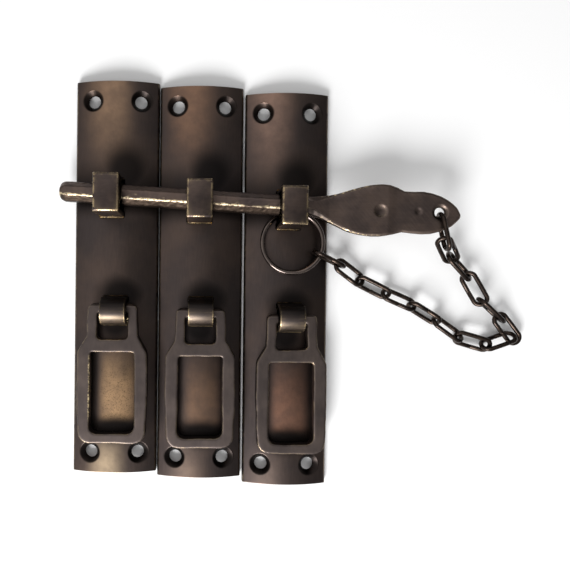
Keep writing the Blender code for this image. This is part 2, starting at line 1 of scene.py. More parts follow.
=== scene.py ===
"""Antique bronze door latch on a white table: three plates, a chained bolt and three stirrup pulls."""
import math
import random

import bpy
import numpy as np
from mathutils import Matrix, Vector


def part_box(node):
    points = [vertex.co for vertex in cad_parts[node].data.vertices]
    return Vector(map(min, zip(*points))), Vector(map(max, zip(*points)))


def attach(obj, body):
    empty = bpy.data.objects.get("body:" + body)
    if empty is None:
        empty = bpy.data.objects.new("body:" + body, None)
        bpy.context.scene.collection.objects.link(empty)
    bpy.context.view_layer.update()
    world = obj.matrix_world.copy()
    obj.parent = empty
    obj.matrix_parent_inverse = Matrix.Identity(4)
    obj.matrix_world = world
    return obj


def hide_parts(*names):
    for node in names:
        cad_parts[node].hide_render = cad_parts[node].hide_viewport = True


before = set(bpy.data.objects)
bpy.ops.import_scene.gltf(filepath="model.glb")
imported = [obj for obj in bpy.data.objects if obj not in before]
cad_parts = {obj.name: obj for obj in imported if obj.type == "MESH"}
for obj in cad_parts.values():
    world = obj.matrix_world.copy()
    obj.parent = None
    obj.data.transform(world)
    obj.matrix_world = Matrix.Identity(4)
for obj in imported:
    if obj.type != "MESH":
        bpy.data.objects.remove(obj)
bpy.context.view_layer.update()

MM = 0.001
SAME_SPOT = 4e-6                # corners nearer than this are merged
SAME_FLAT = math.radians(0.5)   # faces turned by less than this are made one
SIDES = ("left", "middle", "right")
LINKS = [node for node in sorted(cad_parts) if node.startswith("link_")]

MIDDLE = sum(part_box("middle_plate"), Vector()) / 2 * Vector((1, 1, 0))

# Plates: distances across are from a plate's middle
PLATE_HALF = 21.75 * MM
CROWN_HALF = 20.55 * MM       # where the crown turns down to the long edge
CROWN_RADIUS = 58.9 * MM
FACET_EDGE = 17.99 * MM       # where the solid crown's outer facets meet
FACET_SLOPE = 0.296           # fall of the facet inside that edge
SCREW_ACROSS = 25.4 * MM      # between the two screw holes of a row
SCREW_ALONG = 182.6 * MM      # between the two rows
SCREW_SINK = 11.2 * MM        # across a countersink
PLATE_EASE = 0.25 * MM        # width of the eased edges
KEEPER_EASE = 0.6 * MM
ARCH_EASE = 0.3 * MM

# Bolt: where its leaf starts and ends, and the line of its dimples and chain hole
LEAF_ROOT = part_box("right_keeper")[1].x
LEAF_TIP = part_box("bolt")[1].x
LEAF_LINE = sum(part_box("right_keeper"), Vector()).y / 2 - 2.3 * MM
BIG_DIMPLE = 39.5 * MM        # back from the tip
SMALL_DIMPLE = 20.9 * MM
CHAIN_HOLE = 9.6 * MM

# Chain links
LINK_BEND = 3.35 * MM
LINK_HALF = 5.65 * MM         # half of a straight side
LINK_WIRE = 1.15 * MM         # radius of the wire
LINK_BUTT = 0.84              # share of the wire's thickness left where its ends meet
LINK_GROOVE = 0.22 * MM       # half of the groove there
NOTHING = 0.01 * MM           # as good as on the middle line


# Modelling helpers

def only(piece):
    """Selects one piece and nothing else."""
    if bpy.context.mode != "OBJECT":
        bpy.ops.object.mode_set(mode="OBJECT")
    bpy.ops.object.select_all(action="DESELECT")
    piece.select_set(True)
    bpy.context.view_layer.objects.active = piece


def settle(piece):
    """Puts the piece's place, turn and size into its mesh."""
    only(piece)
    bpy.ops.object.transform_apply(location=True, rotation=True, scale=True)


def name_it(piece, name):
    piece.name = name
    piece.data.name = name
    return piece


def casting_of(node, name):
    """A merged copy of a solid, with its flats made whole, ready to be finished."""
    only(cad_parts[node])
    bpy.ops.object.duplicate()
    piece = name_it(bpy.context.active_object, name)
    piece.parent = None
    for key in [key for key in piece.keys() if key.startswith("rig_")]:
        del piece[key]
    piece.data.materials.clear()
    bpy.ops.object.mode_set(mode="EDIT")
    bpy.ops.mesh.select_all(action="SELECT")
    bpy.ops.mesh.remove_doubles(threshold=SAME_SPOT)
    bpy.ops.mesh.dissolve_limited(angle_limit=SAME_FLAT)
    bpy.ops.object.mode_set(mode="OBJECT")
    return piece


def apply_modifier(piece, kind, **settings):
    only(piece)
    step = piece.modifiers.new(kind.title(), kind)
    for key, value in settings.items():
        setattr(step, key, value)
    bpy.ops.object.modifier_apply(modifier=step.name)


def ease_edges(piece, width, segments, angle, smooth):
    """Rounds the edges that are sharper than an angle, and shades the rest smooth."""
    apply_modifier(piece, "BEVEL", width=width, segments=segments, limit_method="ANGLE",
                   angle_limit=math.radians(angle), use_clamp_overlap=False, harden_normals=False,
                   miter_outer="MITER_ARC")
    only(piece)
    bpy.ops.object.shade_smooth_by_angle(angle=math.radians(smooth))


def skin(piece, voxel):
    """Even dense skin over a casting, with its corners eased."""
    apply_modifier(piece, "REMESH", mode="VOXEL", voxel_size=voxel, adaptivity=0.0, use_smooth_shade=True)
    apply_modifier(piece, "SMOOTH", factor=0.5, iterations=2)
    only(piece)
    bpy.ops.object.shade_smooth()


def dent(piece, depth, size, axis="NORMAL", group=""):
    """Low waves of casting and hammering over the whole skin, or over one group of it."""
    cloud = bpy.data.textures.new(f"{piece.name}_dents", "CLOUDS")
    cloud.noise_scale = size
    cloud.noise_depth = 1
    apply_modifier(piece, "DISPLACE", texture=cloud, texture_coords="LOCAL", strength=depth, mid_level=0.5,
                   direction=axis, vertex_group=group)


def put(piece, body, material, slot, *nodes):
    """Gives a finished piece its finish, its body and the solids that it stands for."""
    piece.data.materials.clear()
    piece.data.materials.append(material)
    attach(piece, body)
    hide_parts(*nodes)
    return piece


# Node helpers

def node_at(tree, kind, place=(0, 0), **settings):
    node = tree.nodes.new(kind)
    node.location = place
    for key, value in settings.items():
        setattr(node, key, value)
    return node


def feed(tree, socket, item):
    """Links a socket to another node, or sets it to a number or a colour."""
    if isinstance(item, bpy.types.NodeSocket):
        tree.links.new(item, socket)
    else:
        socket.default_value = item


def group_of(name, inputs, outputs):
    tree = bpy.data.node_groups.new(name, "ShaderNodeTree")
    for label, kind, value in inputs:
        socket = tree.interface.new_socket(label, in_out="INPUT", socket_type=kind)
        socket.default_value = value
    for label, kind in outputs:
        tree.interface.new_socket(label, in_out="OUTPUT", socket_type=kind)
    start = node_at(tree, "NodeGroupInput", (-1200, 0))
    end = node_at(tree, "NodeGroupOutput", (900, 0))
    return tree, start, end


def maths(tree, operation, *items, clamp=False):
    node = node_at(tree, "ShaderNodeMath", operation=operation, use_clamp=clamp)
    for socket, item in zip(node.inputs, items):
        feed(tree, socket, item)
    return node.outputs[0]


def product(tree, *shares):
    result = shares[0]
    for share in shares[1:]:
        result = maths(tree, "MULTIPLY", result, share)
    return result


def largest(tree, *shares):
    result = shares[0]
    for share in shares[1:]:
        result = maths(tree, "MAXIMUM", result, share)
    return result


def vector_maths(tree, operation, first, second):
    node = node_at(tree, "ShaderNodeVectorMath", operation=operation)
    feed(tree, node.inputs[0], first)
    feed(tree, node.inputs["Scale" if operation == "SCALE" else 1], second)
    return node.outputs["Value" if operation == "DOT_PRODUCT" else "Vector"]


def object_place(tree):
    return node_at(tree, "ShaderNodeTexCoord").outputs["Object"]


def parts_of(tree, vector):
    node = node_at(tree, "ShaderNodeSeparateXYZ")
    tree.links.new(vector, node.inputs[0])
    return node.outputs


def spread(tree, value, low, high, to_low=0.0, to_high=1.0):
    """Soft step between two values, as the first one goes from low to high."""
    node = node_at(tree, "ShaderNodeMapRange", interpolation_type="SMOOTHSTEP")
    items = {"Value": value, "From Min": low, "From Max": high, "To Min": to_low, "To Max": to_high}
    for label, item in items.items():
        feed(tree, node.inputs[label], item)
    return node.outputs["Result"]


def noise(tree, vector, scale, detail, rough):
    node = node_at(tree, "ShaderNodeTexNoise")
    for label, item in {"Vector": vector, "Scale": scale, "Detail": detail, "Roughness": rough}.items():
        feed(tree, node.inputs[label], item)
    return node.outputs["Fac"]


def object_noise(tree, scale, detail, rough, low, high):
    return spread(tree, noise(tree, object_place(tree), scale, detail, rough), low, high)


def blend_colour(tree, share, first, second):
    node = node_at(tree, "ShaderNodeMix", data_type="RGBA")
    for number, item in {0: share, 6: first, 7: second}.items():
        feed(tree, node.inputs[number], item)
    return node.outputs[2]


def blend_number(tree, share, first, second):
    node = node_at(tree, "ShaderNodeMix", data_type="FLOAT")
    for number, item in {0: share, 2: first, 3: second}.items():
        feed(tree, node.inputs[number], item)
    return node.outputs[0]


def leaning(tree, low, high, axis="Y"):
    """Share that grows from nought to one as the surface leans from low to high along an axis."""
    normal = node_at(tree, "ShaderNodeNewGeometry").outputs["Normal"]
    return spread(tree, parts_of(tree, normal)[axis], low, high)


def soft_oval(tree, across, along, x, y, wide, high):
    """Spot of grime that fades out from its middle."""
    side = maths(tree, "DIVIDE", maths(tree, "SUBTRACT", across, x), wide)
    rise = maths(tree, "DIVIDE", maths(tree, "SUBTRACT", along, y), high)
    reach = maths(tree, "SQRT", maths(tree, "MULTIPLY_ADD", side, side, product(tree, rise, rise)))
    return spread(tree, reach, 1.0, 0.3)


def laid_over(material, share, colour):
    """Lays one more colour over the finish of a material."""
    tree = material.node_tree
    base = tree.nodes["Principled BSDF"].inputs["Base Color"]
    tree.links.new(blend_colour(tree, share, base.links[0].from_socket, (*colour, 1)), base)


# Finishes

BRASS_WEAR_AND_GLINT = (0.82, 0.62, 0.34)
DULL_BRASS_AND_SHEEN = (0.52, 0.38, 0.20)
RIDGE_WEAR_AND_GLINT = (0.74, 0.60, 0.39)
BRIGHT_FLECK = (1.0, 0.80, 0.46)
ROUGH_FLECK = (0.95, 0.75, 0.42)
PLATE_SHADE = (0.010, 0.009, 0.009)
ARCH_SHADE = (0.014, 0.012, 0.012)
SINK_SHADE = (0.016, 0.013, 0.012)
NECK_FLANK_DARK = (0.022, 0.018, 0.016)
DIMPLE_SHADE = (0.03, 0.024, 0.022)
PIT_SHADE = (0.03, 0.02, 0.014)
ROD_UNDERSIDE_SHADE = (0.045, 0.032, 0.024)
ROD_CORNER_SHADE = (0.05, 0.036, 0.027)
FILED_LINE = (0.19, 0.145, 0.125)
LEAF_RIM = (0.24, 0.19, 0.15)

# Painted shade and shadows on a plate: middle across and along, half width and half height, in mm from the
# plate's middle
SHADE_OVALS = (
    (3, -9, 17, 13),          # over the arch
    (0, -25, 11, 10),         # in the pull's eye
    (5, 55, 16, 19),          # over the keeper
    (1, -79, 20, 10))         # under the pull

# Share of brass on each arch's lower side, partly wear and partly a painted highlight where the band faces
# the light, and of brass flecks on each pull's inner edge
ARCH_BAND_WEAR_AND_SHEEN = {"left": 0.13, "middle": 0.07, "right": 0.10}
PULL_FLECKS = {"left": 0.9, "middle": 0.0, "right": 0.0}


def make_edge_wear_and_glint():
    """Where handling has rubbed the patina off the edges, with more brass on the edges that face the near
    side as a painted highlight.
    """
    tree, start, end = group_of("rubbed_and_glinting_edges", [
        ("Reach", "NodeSocketFloat", 0.0006), ("Amount", "NodeSocketFloat", 1.0),
        ("Break Up", "NodeSocketFloat", 260.0), ("Lit Lower Side", "NodeSocketFloat", 0.5)],
        [("Rub And Glint", "NodeSocketFloat")])
    eased = node_at(tree, "ShaderNodeBevel", samples=6)
    tree.links.new(start.outputs["Reach"], eased.inputs["Radius"])
    flat = node_at(tree, "ShaderNodeNewGeometry").outputs["True Normal"]
    edge = spread(tree, vector_maths(tree, "DOT_PRODUCT", eased.outputs[0], flat), 0.998, 0.92)
    broken = spread(tree, noise(tree, object_place(tree), start.outputs["Break Up"], 4.0, 0.6), 0.36, 0.58)
    # Edges that face the near side, towards the window, get more brass: painted highlight.
    lit_low_side = spread(tree, parts_of(tree, eased.outputs[0])["Y"], 0.25, -0.45)
    keep = maths(tree, "SUBTRACT", 1.0, start.outputs["Lit Lower Side"])
    share = maths(tree, "MULTIPLY_ADD", lit_low_side, start.outputs["Lit Lower Side"], keep)
    rub_and_glint = product(tree, edge, broken, share)
    tree.links.new(maths(tree, "MULTIPLY", rub_and_glint, start.outputs["Amount"], clamp=True), end.inputs["Rub And Glint"])
    return tree


def make_patina():
    """Cloudy patina over bronze, with fine brushing along one direction."""
    tree, start, end = group_of("patina", [
        ("Dark", "NodeSocketColor", (0.03, 0.022, 0.018, 1)),
        ("Warm", "NodeSocketColor", (0.12, 0.08, 0.05, 1)),
        ("Cloud Size", "NodeSocketFloat", 45.0), ("Warmth", "NodeSocketFloat", 0.5),
        ("Brush", "NodeSocketVector", (1.0, 1.0, 1.0)), ("Grain", "NodeSocketFloat", 1.0)],
        [("Color", "NodeSocketColor"), ("Rough", "NodeSocketFloat"), ("Height", "NodeSocketFloat")])
    place = object_place(tree)
    clouds = noise(tree, place, start.outputs["Cloud Size"], 4.0, 0.6)
    warm = maths(tree, "MULTIPLY", spread(tree, clouds, 0.32, 0.72), start.outputs["Warmth"])
    stretched = vector_maths(tree, "MULTIPLY", place, start.outputs["Brush"])
    brush = noise(tree, stretched, 1.0, 3.0, 0.6)
    grain = maths(tree, "MULTIPLY", maths(tree, "SUBTRACT", brush, 0.5), start.outputs["Grain"])
    shade = blend_colour(tree, warm, start.outputs["Dark"], start.outputs["Warm"])
    level = maths(tree, "MULTIPLY_ADD", grain, 0.9, 1.0)
    tree.links.new(vector_maths(tree, "SCALE", shade, level), end.inputs["Color"])
    rough = maths(tree, "MULTIPLY_ADD", clouds, 0.16, maths(tree, "MULTIPLY", grain, 0.3))
    tree.links.new(rough, end.inputs["Rough"])
    pits = noise(tree, place, 1900.0, 2.0, 0.5)
    tree.links.new(maths(tree, "MULTIPLY_ADD", pits, 0.25, grain), end.inputs["Height"])
    return tree


def make_plate_places():
    """Masks over one plate: painted highlights on the crown at either end, painted shade in the
    countersinks, painted light on the floor under the pull, and painted shade and shadows.
    """
    tree, start, end = group_of("plate_places", [
        ("Middle", "NodeSocketVector", (0, 0, 0)), ("Highlight Side", "NodeSocketFloat", 0.0)],
        [("Top", "NodeSocketFloat"), ("Bottom", "NodeSocketFloat"), ("Sinks", "NodeSocketFloat"),
         ("Floor Light", "NodeSocketFloat"), ("Painted Shade", "NodeSocketFloat")])
    local = parts_of(tree, vector_maths(tree, "SUBTRACT", object_place(tree), start.outputs["Middle"]))
    across, along = local["X"], local["Y"]

    # Painted highlights: a warm column along the crown at the top end and at the bottom end, set off to one
    # side.
    off = maths(tree, "ABSOLUTE", maths(tree, "SUBTRACT", across, start.outputs["Highlight Side"]))
    top_highlight_mask = product(tree, spread(tree, off, 17 * MM, 1 * MM), spread(tree, along, 48 * MM, 96 * MM))
    tree.links.new(top_highlight_mask, end.inputs["Top"])
    bottom_highlight_mask = product(tree, spread(tree, off, 13 * MM, 0), spread(tree, along, -76 * MM, -99 * MM))
    tree.links.new(bottom_highlight_mask, end.inputs["Bottom"])

    # Painted shade in the countersinks.
    from_hole = maths(tree, "SUBTRACT", maths(tree, "ABSOLUTE", across), SCREW_ACROSS / 2)
    from_row = maths(tree, "SUBTRACT", maths(tree, "ABSOLUTE", along), SCREW_ALONG / 2)
    reach = maths(tree, "SQRT", maths(tree, "ADD", product(tree, from_hole, from_hole),
                                      product(tree, from_row, from_row)))
    sinks = spread(tree, reach, SCREW_SINK / 2 + 0.5 * MM, SCREW_SINK / 2 - 0.6 * MM)
    tree.links.new(sinks, end.inputs["Sinks"])

    # Painted light on the floor inside the pull's window, fading out towards the window's edges.
    aside = maths(tree, "ABSOLUTE", maths(tree, "SUBTRACT", across, 2 * MM))
    floor_light = product(tree, spread(tree, along, -28 * MM, -62 * MM), spread(tree, along, -77 * MM, -72 * MM),
                    spread(tree, aside, 12 * MM, 5 * MM))
    tree.links.new(floor_light, end.inputs["Floor Light"])

    # Painted shade and shadows: round the arch, in the pull's eye, above the keeper, under the pull, above
    # the bolt, and more over the plate's right half.
    spots = []
    for x, y, wide, high in SHADE_OVALS:
        spots.append(soft_oval(tree, across, along, x * MM, y * MM, wide * MM, high * MM))
    over_bolt = product(tree, spread(tree, along, 64 * MM, 47 * MM),
                        spread(tree, along, 28 * MM, 38 * MM), 0.8)
    right_half = product(tree, spread(tree, along, 40 * MM, 26 * MM),
                         spread(tree, along, -72 * MM, -45 * MM),
                         spread(tree, across, -1 * MM, 9 * MM, 0.0, 0.34))
    tree.links.new(largest(tree, *spots, over_bolt, right_half), end.inputs["Painted Shade"])
    return tree


RUB_AND_GLINT = make_edge_wear_and_glint()
PATINA = make_patina()
PLACES = make_plate_places()


def bronze(name, dark, warm, rough, warmth, cloud, brush, grain, reach, rub_and_glint, lit_lower_side, break_up=260.0,
           bump=0.12):
    """Aged bronze: patina, brushing, and edges rubbed to brass, brighter on the near side as a painted
    highlight.
    """
    material = bpy.data.materials.new(name)
    material.use_nodes = True
    tree = material.node_tree
    shader = tree.nodes["Principled BSDF"]
    shader.inputs["Metallic"].default_value = 1.0
    body = node_at(tree, "ShaderNodeGroup", (-900, 100), node_tree=PATINA)
    patina_values = {"Dark": (*dark, 1), "Warm": (*warm, 1), "Cloud Size": cloud, "Warmth": warmth,
                     "Brush": brush, "Grain": grain}
    for label, value in patina_values.items():
        body.inputs[label].default_value = value
    edge = node_at(tree, "ShaderNodeGroup", (-900, -300), node_tree=RUB_AND_GLINT)
    rub_values = {"Reach": reach * MM, "Amount": rub_and_glint, "Break Up": break_up, "Lit Lower Side": lit_lower_side}
    for label, value in rub_values.items():
        edge.inputs[label].default_value = value
    colour = blend_colour(tree, edge.outputs["Rub And Glint"], body.outputs["Color"], (*BRASS_WEAR_AND_GLINT, 1))
    tree.links.new(colour, shader.inputs["Base Color"])
    dull = maths(tree, "ADD", body.outputs["Rough"], rough)
    final = maths(tree, "MULTIPLY_ADD", edge.outputs["Rub And Glint"], -0.12, dull, clamp=True)
    tree.links.new(final, shader.inputs["Roughness"])
    lift = node_at(tree, "ShaderNodeBump", (-300, -400))
    lift.inputs["Strength"].default_value = bump
    lift.inputs["Distance"].default_value = 0.2 * MM
    tree.links.new(body.outputs["Height"], lift.inputs["Height"])
    tree.links.new(lift.outputs["Normal"], shader.inputs["Normal"])
    return material


def plate_bronze(side, top_highlight, bottom_highlight, floor_light, pits, highlight_side):
    """The plates' patina, with painted warm highlights along the crown at both ends, painted light on the
    floor under the pull, and painted shade in the countersinks and round the arch, pull, keeper and bolt.
    """
    middle = sum(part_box(f"{side}_plate"), Vector()) / 2
    material = bronze(f"{side}_plate_bronze", (0.056, 0.045, 0.043), (0.115, 0.078, 0.060), rough=0.30,
                      warmth=0.5, cloud=26.0, brush=(1300, 160, 160), grain=0.3, reach=0.35, rub_and_glint=0.25,
                      lit_lower_side=0.5)
    tree = material.node_tree
    masks = node_at(tree, "ShaderNodeGroup", (-1300, 500), node_tree=PLACES)
    masks.inputs["Middle"].default_value = (middle.x, middle.y, 0)
    masks.inputs["Highlight Side"].default_value = highlight_side * MM
    place = object_place(tree)
    patchy = spread(tree, noise(tree, place, 130.0, 5.0, 0.62), 0.25, 0.75, 0.55, 1.0)
    # Painted highlights at the crown's ends and painted light on the floor under the pull.
    for label, colour in (("Top", top_highlight), ("Bottom", bottom_highlight), ("Floor Light", floor_light)):
        laid_over(material, product(tree, masks.outputs[label], 0.8, patchy), colour)
    specks = spread(tree, noise(tree, place, 1600.0, 4.0, 0.75), 0.52, 0.64)
    laid_over(material, product(tree, specks, masks.outputs["Floor Light"], pits), PIT_SHADE)
    # Painted shade and shadows over the plate.
    laid_over(material, product(tree, masks.outputs["Painted Shade"], 0.88), PLATE_SHADE)
    laid_over(material, product(tree, masks.outputs["Sinks"], 0.9), SINK_SHADE)
    return material


def arch_bronze(side):
    """Arches: painted shade on the side that faces up the plate, and brass on the lower side, partly wear
    and partly a painted highlight where it faces the light.
    """
    material = bronze(f"{side}_arch_bronze", (0.070, 0.056, 0.052), (0.12, 0.09, 0.07), rough=0.34,
                      warmth=0.4, cloud=120.0, brush=(200, 1100, 400), grain=0.3, reach=0.9, rub_and_glint=1.1,
                      break_up=300.0, lit_lower_side=0.2)
    tree = material.node_tree
    # Brass band on the lower side that faces the light: wear and painted highlight.
    band = product(tree, leaning(tree, -0.18, -0.42), object_noise(tree, 220.0, 4.0, 0.6, 0.2, 0.6))
    laid_over(material, product(tree, band, ARCH_BAND_WEAR_AND_SHEEN[side]), DULL_BRASS_AND_SHEEN)
    # Painted shade on the side that faces up the plate.
    laid_over(material, product(tree, leaning(tree, -0.05, 0.35), 0.8), ARCH_SHADE)
    return material


def forged_bronze():
    """Bolt: painted shade on the rod's underside and lower corner, an uneven bright ridge of brass wear and
    painted highlight along that corner, filing lines and dimples on the leaf.
    """
    material = bronze("forged_bolt_bronze", (0.088, 0.067, 0.061), (0.17, 0.12, 0.095), rough=0.3,
                      warmth=0.5, cloud=90.0, brush=(120, 1400, 1400), grain=0.35, reach=0.6, rub_and_glint=0.5,
                      lit_lower_side=0.85)
    tree = material.node_tree
    place = object_place(tree)
    parts = parts_of(tree, place)
    along, over = parts["X"], parts["Y"]
    rod = spread(tree, along, LEAF_ROOT + 4 * MM, LEAF_ROOT - 4 * MM)
    leaf = maths(tree, "SUBTRACT", 1.0, rod)

    # Painted shade on the rod's underside and lower corner.
    laid_over(material, product(tree, rod, leaning(tree, -0.35, -0.6)), ROD_UNDERSIDE_SHADE)
    corner = product(tree, leaning(tree, -0.04, -0.18), leaning(tree, -0.60, -0.38), rod)
    laid_over(material, product(tree, corner, 0.8), ROD_CORNER_SHADE)
    # The uneven ridge is brass wear and painted highlight.
    uneven = product(tree, object_noise(tree, 640.0, 5.0, 0.75, 0.38, 0.54),
                     object_noise(tree, 90.0, 3.0, 0.6, 0.28, 0.50))
    laid_over(material, product(tree, corner, uneven), RIDGE_WEAR_AND_GLINT)

    turned = node_at(tree, "ShaderNodeMapping", vector_type="TEXTURE")
    turned.inputs["Rotation"].default_value = (0, 0, math.radians(40))
    turned.inputs["Scale"].default_value = (0.4 * MM, 9 * MM, 9 * MM)
    tree.links.new(place, turned.inputs["Vector"])
    filed = spread(tree, noise(tree, turned.outputs["Vector"], 1.0, 2.0, 0.5), 0.42, 0.66)
    laid_over(material, product(tree, filed, leaf, 0.17), FILED_LINE)
    for back, high, reach in ((BIG_DIMPLE, 0, 3.6 * MM), (SMALL_DIMPLE, 0, 2.2 * MM),
                              (CHAIN_HOLE, -0.7 * MM, 5.4 * MM)):
        spot = soft_oval(tree, along, over, LEAF_TIP - back, LEAF_LINE + high, reach, reach)
        laid_over(material, product(tree, spot, 0.5), DIMPLE_SHADE)

    # Darker on the leaf's near flank by its root.
    near_root = spread(tree, along, LEAF_ROOT + 30 * MM, LEAF_ROOT + 14 * MM)
    flank = product(tree, leaning(tree, -0.12, -0.35), leaf, near_root)
    laid_over(material, product(tree, flank, 0.85), NECK_FLANK_DARK)
    rim = product(tree, leaning(tree, 0.97, 0.85, "Z"), leaning(tree, 0.2, 0.45, "Z"),
                  spread(tree, along, LEAF_ROOT + 6 * MM, LEAF_ROOT + 16 * MM))
    laid_over(material, product(tree, rim, 0.2), LEAF_RIM)
    flecks = product(tree, object_noise(tree, 800.0, 4.0, 0.75, 0.53, 0.62),
                     spread(tree, along, LEAF_ROOT + 45 * MM, LEAF_ROOT + 20 * MM))
    laid_over(material, product(tree, rim, flecks), BRIGHT_FLECK)
    return material


def pull_bronze(side):
    """Cast pulls; one of them has a rough inner edge with brass flecks."""
    material = bronze(f"{side}_pull_bronze", (0.078, 0.063, 0.059), (0.13, 0.10, 0.085), rough=0.32,
                      warmth=0.4, cloud=70.0, brush=(900, 240, 400), grain=0.25, reach=0.7, rub_and_glint=0.42,
                      break_up=200.0, lit_lower_side=0.2)
    tree = material.node_tree
    parts = parts_of(tree, object_place(tree))
    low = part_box(f"{side}_pull")[0]
    off = maths(tree, "ABSOLUTE", maths(tree, "SUBTRACT", parts["X"], low.x + 6.3 * MM))
    inner = product(tree, spread(tree, parts["Y"], low.y + 10 * MM, low.y + 16 * MM),
                    spread(tree, parts["Y"], low.y + 46 * MM, low.y + 42 * MM))
    edge = product(tree, spread(tree, off, 0.6 * MM, 0.25 * MM), inner)
    rough = product(tree, edge, object_noise(tree, 1000.0, 4.0, 0.8, 0.49, 0.58))
    laid_over(material, product(tree, rough, PULL_FLECKS[side]), ROUGH_FLECK)
    return material


def wire_bronze(name, dark, warm, rough):
    """Drawn wire of the ring and the chain, with nothing rubbed."""
    return bronze(name, dark, warm, rough=rough, warmth=0.5, cloud=180.0, brush=(300, 300, 300), grain=0.3,
                  reach=0.2, rub_and_glint=0.0, lit_lower_side=0.0, bump=0.08)


PLATE_FINISH = {
    "left": plate_bronze("left", top_highlight=(0.34, 0.215, 0.135), bottom_highlight=(0.38, 0.29, 0.19),
                         floor_light=(0.48, 0.30, 0.16), pits=0.7, highlight_side=-4.0),
    "middle": plate_bronze("middle", top_highlight=(0.27, 0.155, 0.10), bottom_highlight=(0.19, 0.135, 0.105),
                           floor_light=(0.20, 0.12, 0.078), pits=0.0, highlight_side=-6.0),
    "right": plate_bronze("right", top_highlight=(0.30, 0.19, 0.145), bottom_highlight=(0.17, 0.125, 0.105),
                          floor_light=(0.29, 0.15, 0.10), pits=0.15, highlight_side=-9.0)}
KEEPER_FINISH = bronze("keeper_bronze", (0.060, 0.046, 0.042), (0.135, 0.096, 0.078), rough=0.26,
                       warmth=0.4, cloud=120.0, brush=(200, 1100, 400), grain=0.3, reach=1.3, rub_and_glint=1.6,
                       break_up=330.0, lit_lower_side=0.5)
ARCH_FINISH = {side: arch_bronze(side) for side in SIDES}
BOLT_FINISH = forged_bronze()
PULL_FINISH = {side: pull_bronze(side) for side in SIDES}
RING_FINISH = wire_bronze("ring_wire", (0.11, 0.088, 0.080), (0.19, 0.15, 0.125), rough=0.10)
CHAIN_FINISH = wire_bronze("blackened_wire", (0.030, 0.023, 0.020), (0.085, 0.060, 0.045), rough=0.2)


# Plates, keepers, arches, pulls and bolt

def back_lean(across):
    """Lean of the plate's back at a distance across: an arc, then a quick turn down at the long edges."""
    arc = min(abs(across), CROWN_HALF)
    turn = math.asin(arc / CROWN_RADIUS) + (abs(across) - arc) / (PLATE_HALF - CROWN_HALF) * math.radians(62)
    return math.copysign(turn, across)


def hold_rims(plate, middle):
    """Keeps the eased rims of the screw holes inside the facet of the crown that they lie on."""
    inside = 0.03 * MM
    for corner in plate.data.vertices:
        across = corner.co.x - middle
        slide = abs(across) - FACET_EDGE + inside
        if inside < slide < 0.2 * MM:
            corner.co.x -= math.copysign(slide, across)
            corner.co.z += slide * FACET_SLOPE


def round_back(plate, middle):
    """Lets the plate's crown shade as the one smooth curve that it is."""
    mesh = plate.data
    normals = [corner.vector.copy() for corner in mesh.corner_normals]
    kinds_at = {}
    for face in mesh.polygons:
        across = face.center.x - middle
        slack = 0.12 if abs(across) < CROWN_HALF else 0.5
        crown = (face.normal.z > 0.1 and abs(face.normal.y) < 0.05
                 and abs(face.normal.x - math.sin(back_lean(across))) < slack)
        for key in face.edge_keys:
            kinds_at.setdefault(key, set()).add(crown)
        if crown:
            for corner in face.loop_indices:
                lean = back_lean(mesh.vertices[mesh.loops[corner].vertex_index].co.x - middle)
                normals[corner] = Vector((math.sin(lean), 0, math.cos(lean)))
    for edge in mesh.edges:
        if len(kinds_at[edge.key]) == 2:
            edge.use_edge_sharp = True
    mesh.normals_split_custom_set(normals)


def dress_plate(side):
    plate = casting_of(f"{side}_plate", f"{side}_back_plate")
    ease_edges(plate, PLATE_EASE, segments=2, angle=28, smooth=30)
    low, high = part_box(f"{side}_plate")
    middle = (low.x + high.x) / 2
    hold_rims(plate, middle)
    round_back(plate, middle)
    return put(plate, "plates", PLATE_FINISH[side], "plate_bronze", f"{side}_plate")


def dress_strap(side, kind, name, finish, ease):
    strap = casting_of(f"{side}_{kind}", name)
    ease_edges(strap, ease, segments=3, angle=40, smooth=40)
    return put(strap, "plates", finish, "strap_bronze", f"{side}_{kind}")


def dress_pull(side):
    pull = casting_of(f"{side}_pull", f"{side}_stirrup")
    skin(pull, voxel=0.5 * MM)
    dent(pull, depth=0.22 * MM, size=12 * MM)
    for axis in ("X", "Y"):
        dent(pull, depth=0.7 * MM, size=10 * MM, axis=axis)
    return put(pull, f"{side}_pull", PULL_FINISH[side], "pull_bronze", f"{side}_pull")


def on_leaf_face(corner):
    """True on the leaf's flat front, clear of its root, its big dimple and its tip."""
    place = corner.co.x
    return (place > LEAF_ROOT + 14 * MM and corner.normal.z > 0.93
            and abs(place - LEAF_TIP + BIG_DIMPLE) > 4 * MM and place < LEAF_TIP - 24 * MM)


def dress_bolt():
    """Hammered rod, and a leaf whose front is filed flat."""
    bolt = casting_of("bolt", "forged_bolt")
    skin(bolt, voxel=0.45 * MM)
    dent(bolt, depth=0.14 * MM, size=9 * MM)
    rod = bolt.vertex_groups.new(name="Rod")
    rod.add([corner.index for corner in bolt.data.vertices if corner.co.x < LEAF_ROOT], 1.0, "REPLACE")
    apply_modifier(bolt, "SMOOTH", factor=0.5, iterations=9, vertex_group="Rod")
    dent(bolt, depth=0.22 * MM, size=1.7 * MM, group="Rod")
    face = bolt.vertex_groups.new(name="Leaf Face")
    face.add([corner.index for corner in bolt.data.vertices if on_leaf_face(corner)], 1.0, "REPLACE")
    apply_modifier(bolt, "SMOOTH", factor=0.5, iterations=60, vertex_group="Leaf Face")
    return put(bolt, "bolt", BOLT_FINISH, "bolt_bronze", "bolt")


# Ring and chain

